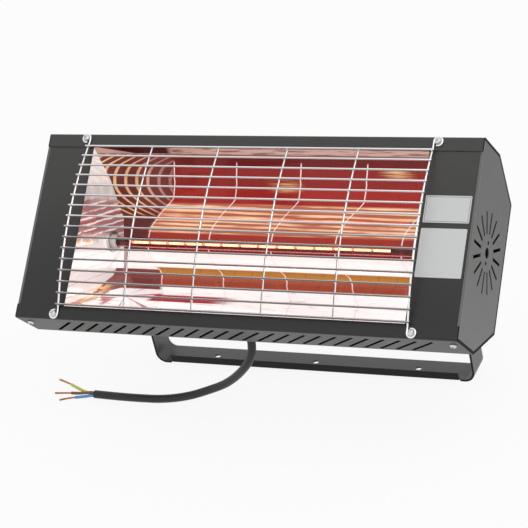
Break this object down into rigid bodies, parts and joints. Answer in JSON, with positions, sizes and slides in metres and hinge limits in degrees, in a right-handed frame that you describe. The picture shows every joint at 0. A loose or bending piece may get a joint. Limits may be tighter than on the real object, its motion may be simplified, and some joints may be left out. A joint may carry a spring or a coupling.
{
  "type": "infrared heater",
  "caption": "Infrared heater with a quartz lamp in a mirrored trough behind a welded wire guard, in a vented black sheet-steel housing that tilts on a U bracket, with a bare-ended supply cord.",
  "frame": {"origin": "centre of the bracket strip's outer face, the face that lies on the mounting surface, at its middle fixing hole", "axes": "+Z out of the mounting surface, X along the heater and the lamp, -Y the side that the front leans towards; at rest the front faces -Y and up"},
  "size_m": [0.5006, 0.1831, 0.2751],
  "materials": {
    "black_enamel": "satin stove enamel",
    "mirror_sheet": "bright rolled mirror finish",
    "zinc_steel": "bright zinc plating",
    "chrome_wire": "bright plating",
    "quartz_glass": "ruby fused quartz",
    "filament_wire": "glowing tungsten coil",
    "support_wire": "dull tungsten",
    "white_ceramic": "unglazed steatite",
    "friction_fibre": "pressed fibre",
    "black_rubber": "matt sheath",
    "black_plastic": "moulded polyamide",
    "earth_insulation": "green and yellow striped insulation",
    "live_insulation": "brown insulation",
    "neutral_insulation": "blue insulation",
    "bare_copper": "bare stranded copper",
    "inner_sleeving": "heat-proof silicone sleeving",
    "brass_stud": "turned brass"
  },
  "bodies": {
    "bracket": {"mounting_bracket": "black_enamel", "pivot_bolts": "zinc_steel", "pivot_washers": "zinc_steel", "friction_washers": "friction_fibre", "pivot_nuts": "zinc_steel", "core_earth": "earth_insulation", "core_live": "live_insulation", "core_neutral": "neutral_insulation", "core_strands": "bare_copper"},
    "heater": {"cable_gland": "black_plastic", "cord_tail": "black_rubber", "earth_lead": "earth_insulation", "earth_stud": "brass_stud", "end_plate_screws": "zinc_steel", "gland_nut": "black_plastic", "guard_cross_wires": "chrome_wire", "guard_nuts": "zinc_steel", "guard_screws": "chrome_wire", "guard_uprights": "chrome_wire", "holder_bracket_screws": "zinc_steel", "holder_screws": "zinc_steel", "housing_shell": "black_enamel", "inner_cores": "inner_sleeving", "lamp_filament": "filament_wire", "lamp_supports": "support_wire", "lamp_tube": "quartz_glass", "left_end_plate": "black_enamel", "left_front_panel": "black_enamel", "left_guard_side_wire": "chrome_wire", "left_holder_bracket": "zinc_steel", "left_lamp_cap": "white_ceramic", "left_lamp_holder": "white_ceramic", "left_lamp_lead": "inner_sleeving", "left_pivot_lug": "black_enamel", "left_reflector_bracket": "zinc_steel", "left_reflector_cheek": "mirror_sheet", "lug_rivets": "zinc_steel", "reflector_bracket_screws": "zinc_steel", "reflector_trough": "mirror_sheet", "right_end_plate": "black_enamel", "right_front_panel": "black_enamel", "right_guard_side_wire": "chrome_wire", "right_holder_bracket": "zinc_steel", "right_lamp_cap": "white_ceramic", "right_lamp_holder": "white_ceramic", "right_lamp_lead": "inner_sleeving", "right_pivot_lug": "black_enamel", "right_reflector_bracket": "zinc_steel", "right_reflector_cheek": "mirror_sheet", "supply_cord": "black_rubber", "terminal_block": "white_ceramic"}
  },
  "joints": [
    {"name": "tilt", "type": "hinge", "parent": "bracket", "child": "heater", "pos_m": [0, 0, 0.135], "axis": [1, 0, 0], "range_deg": [-41, 49], "deforming": ["supply_cord"]}
  ]
}
